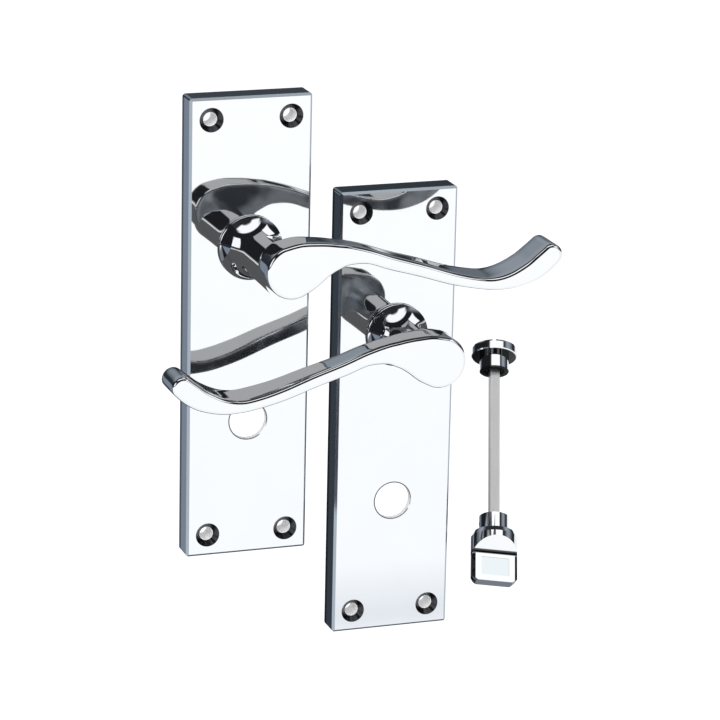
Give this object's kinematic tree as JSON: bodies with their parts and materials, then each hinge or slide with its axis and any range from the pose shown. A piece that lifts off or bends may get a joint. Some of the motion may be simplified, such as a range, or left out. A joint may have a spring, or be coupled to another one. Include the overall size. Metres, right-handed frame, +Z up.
{
  "type": "bathroom door handle pair",
  "caption": "Pair of scroll lever door handles on long backplates with screw and turn holes, sprung levers and a loose thumbturn and coin release.",
  "frame": {"origin": "on the left lever's spindle axis, in the plane where the left plate meets the door", "axes": "+X to the right across the plates, +Y into the door, +Z up"},
  "size_m": [0.1487, 0.1097, 0.1867],
  "materials": {
    "chrome": "polished",
    "nylon": "moulded",
    "spring_steel": "oiled",
    "zinc_steel": "zinc plated"
  },
  "bodies": {
    "plates": {"left_backplate": "chrome", "left_neck_bush": "nylon", "left_return_spring": "spring_steel", "left_stop_pin": "zinc_steel", "left_anchor_pin": "zinc_steel", "right_backplate": "chrome", "right_neck_bush": "nylon", "right_return_spring": "spring_steel", "right_stop_pin": "zinc_steel", "right_anchor_pin": "zinc_steel"},
    "left_handle": {"left_lever": "chrome", "left_drive_disc": "zinc_steel", "left_circlip": "spring_steel"},
    "right_handle": {"right_lever": "chrome", "right_drive_disc": "zinc_steel", "right_circlip": "spring_steel"},
    "turn": {"thumbturn": "chrome", "turn_spindle": "zinc_steel", "turn_pin": "spring_steel"},
    "release_end": {"release": "chrome"}
  },
  "joints": [
    {"name": "left_lever_turn", "type": "hinge", "parent": "plates", "child": "left_handle", "pos_m": [0, 0, 0], "axis": [0, 1, 0], "range_deg": [0, 50], "stiffness_Nm_per_rad": 0.045, "springref_deg": -91.67, "deforming": ["left_return_spring"]},
    {"name": "right_lever_turn", "type": "hinge", "parent": "plates", "child": "right_handle", "pos_m": [0.0549, 0.0145, -0.0367], "axis": [0, -1, 0], "range_deg": [0, 50], "stiffness_Nm_per_rad": 0.045, "springref_deg": -91.67, "deforming": ["right_return_spring"]},
    {"name": "thumbturn_turn", "type": "hinge", "parent": "plates", "child": "turn", "pos_m": [0.09319, 0.01134, -0.10503], "axis": [0.224, 0.6428, 0.7326], "range_deg": [0, 90]},
    {"name": "release_slide", "type": "slide", "parent": "turn", "child": "release_end", "axis": [0.224, 0.6428, 0.7326], "range_m": [-0.0012, 0.003]}
  ]
}
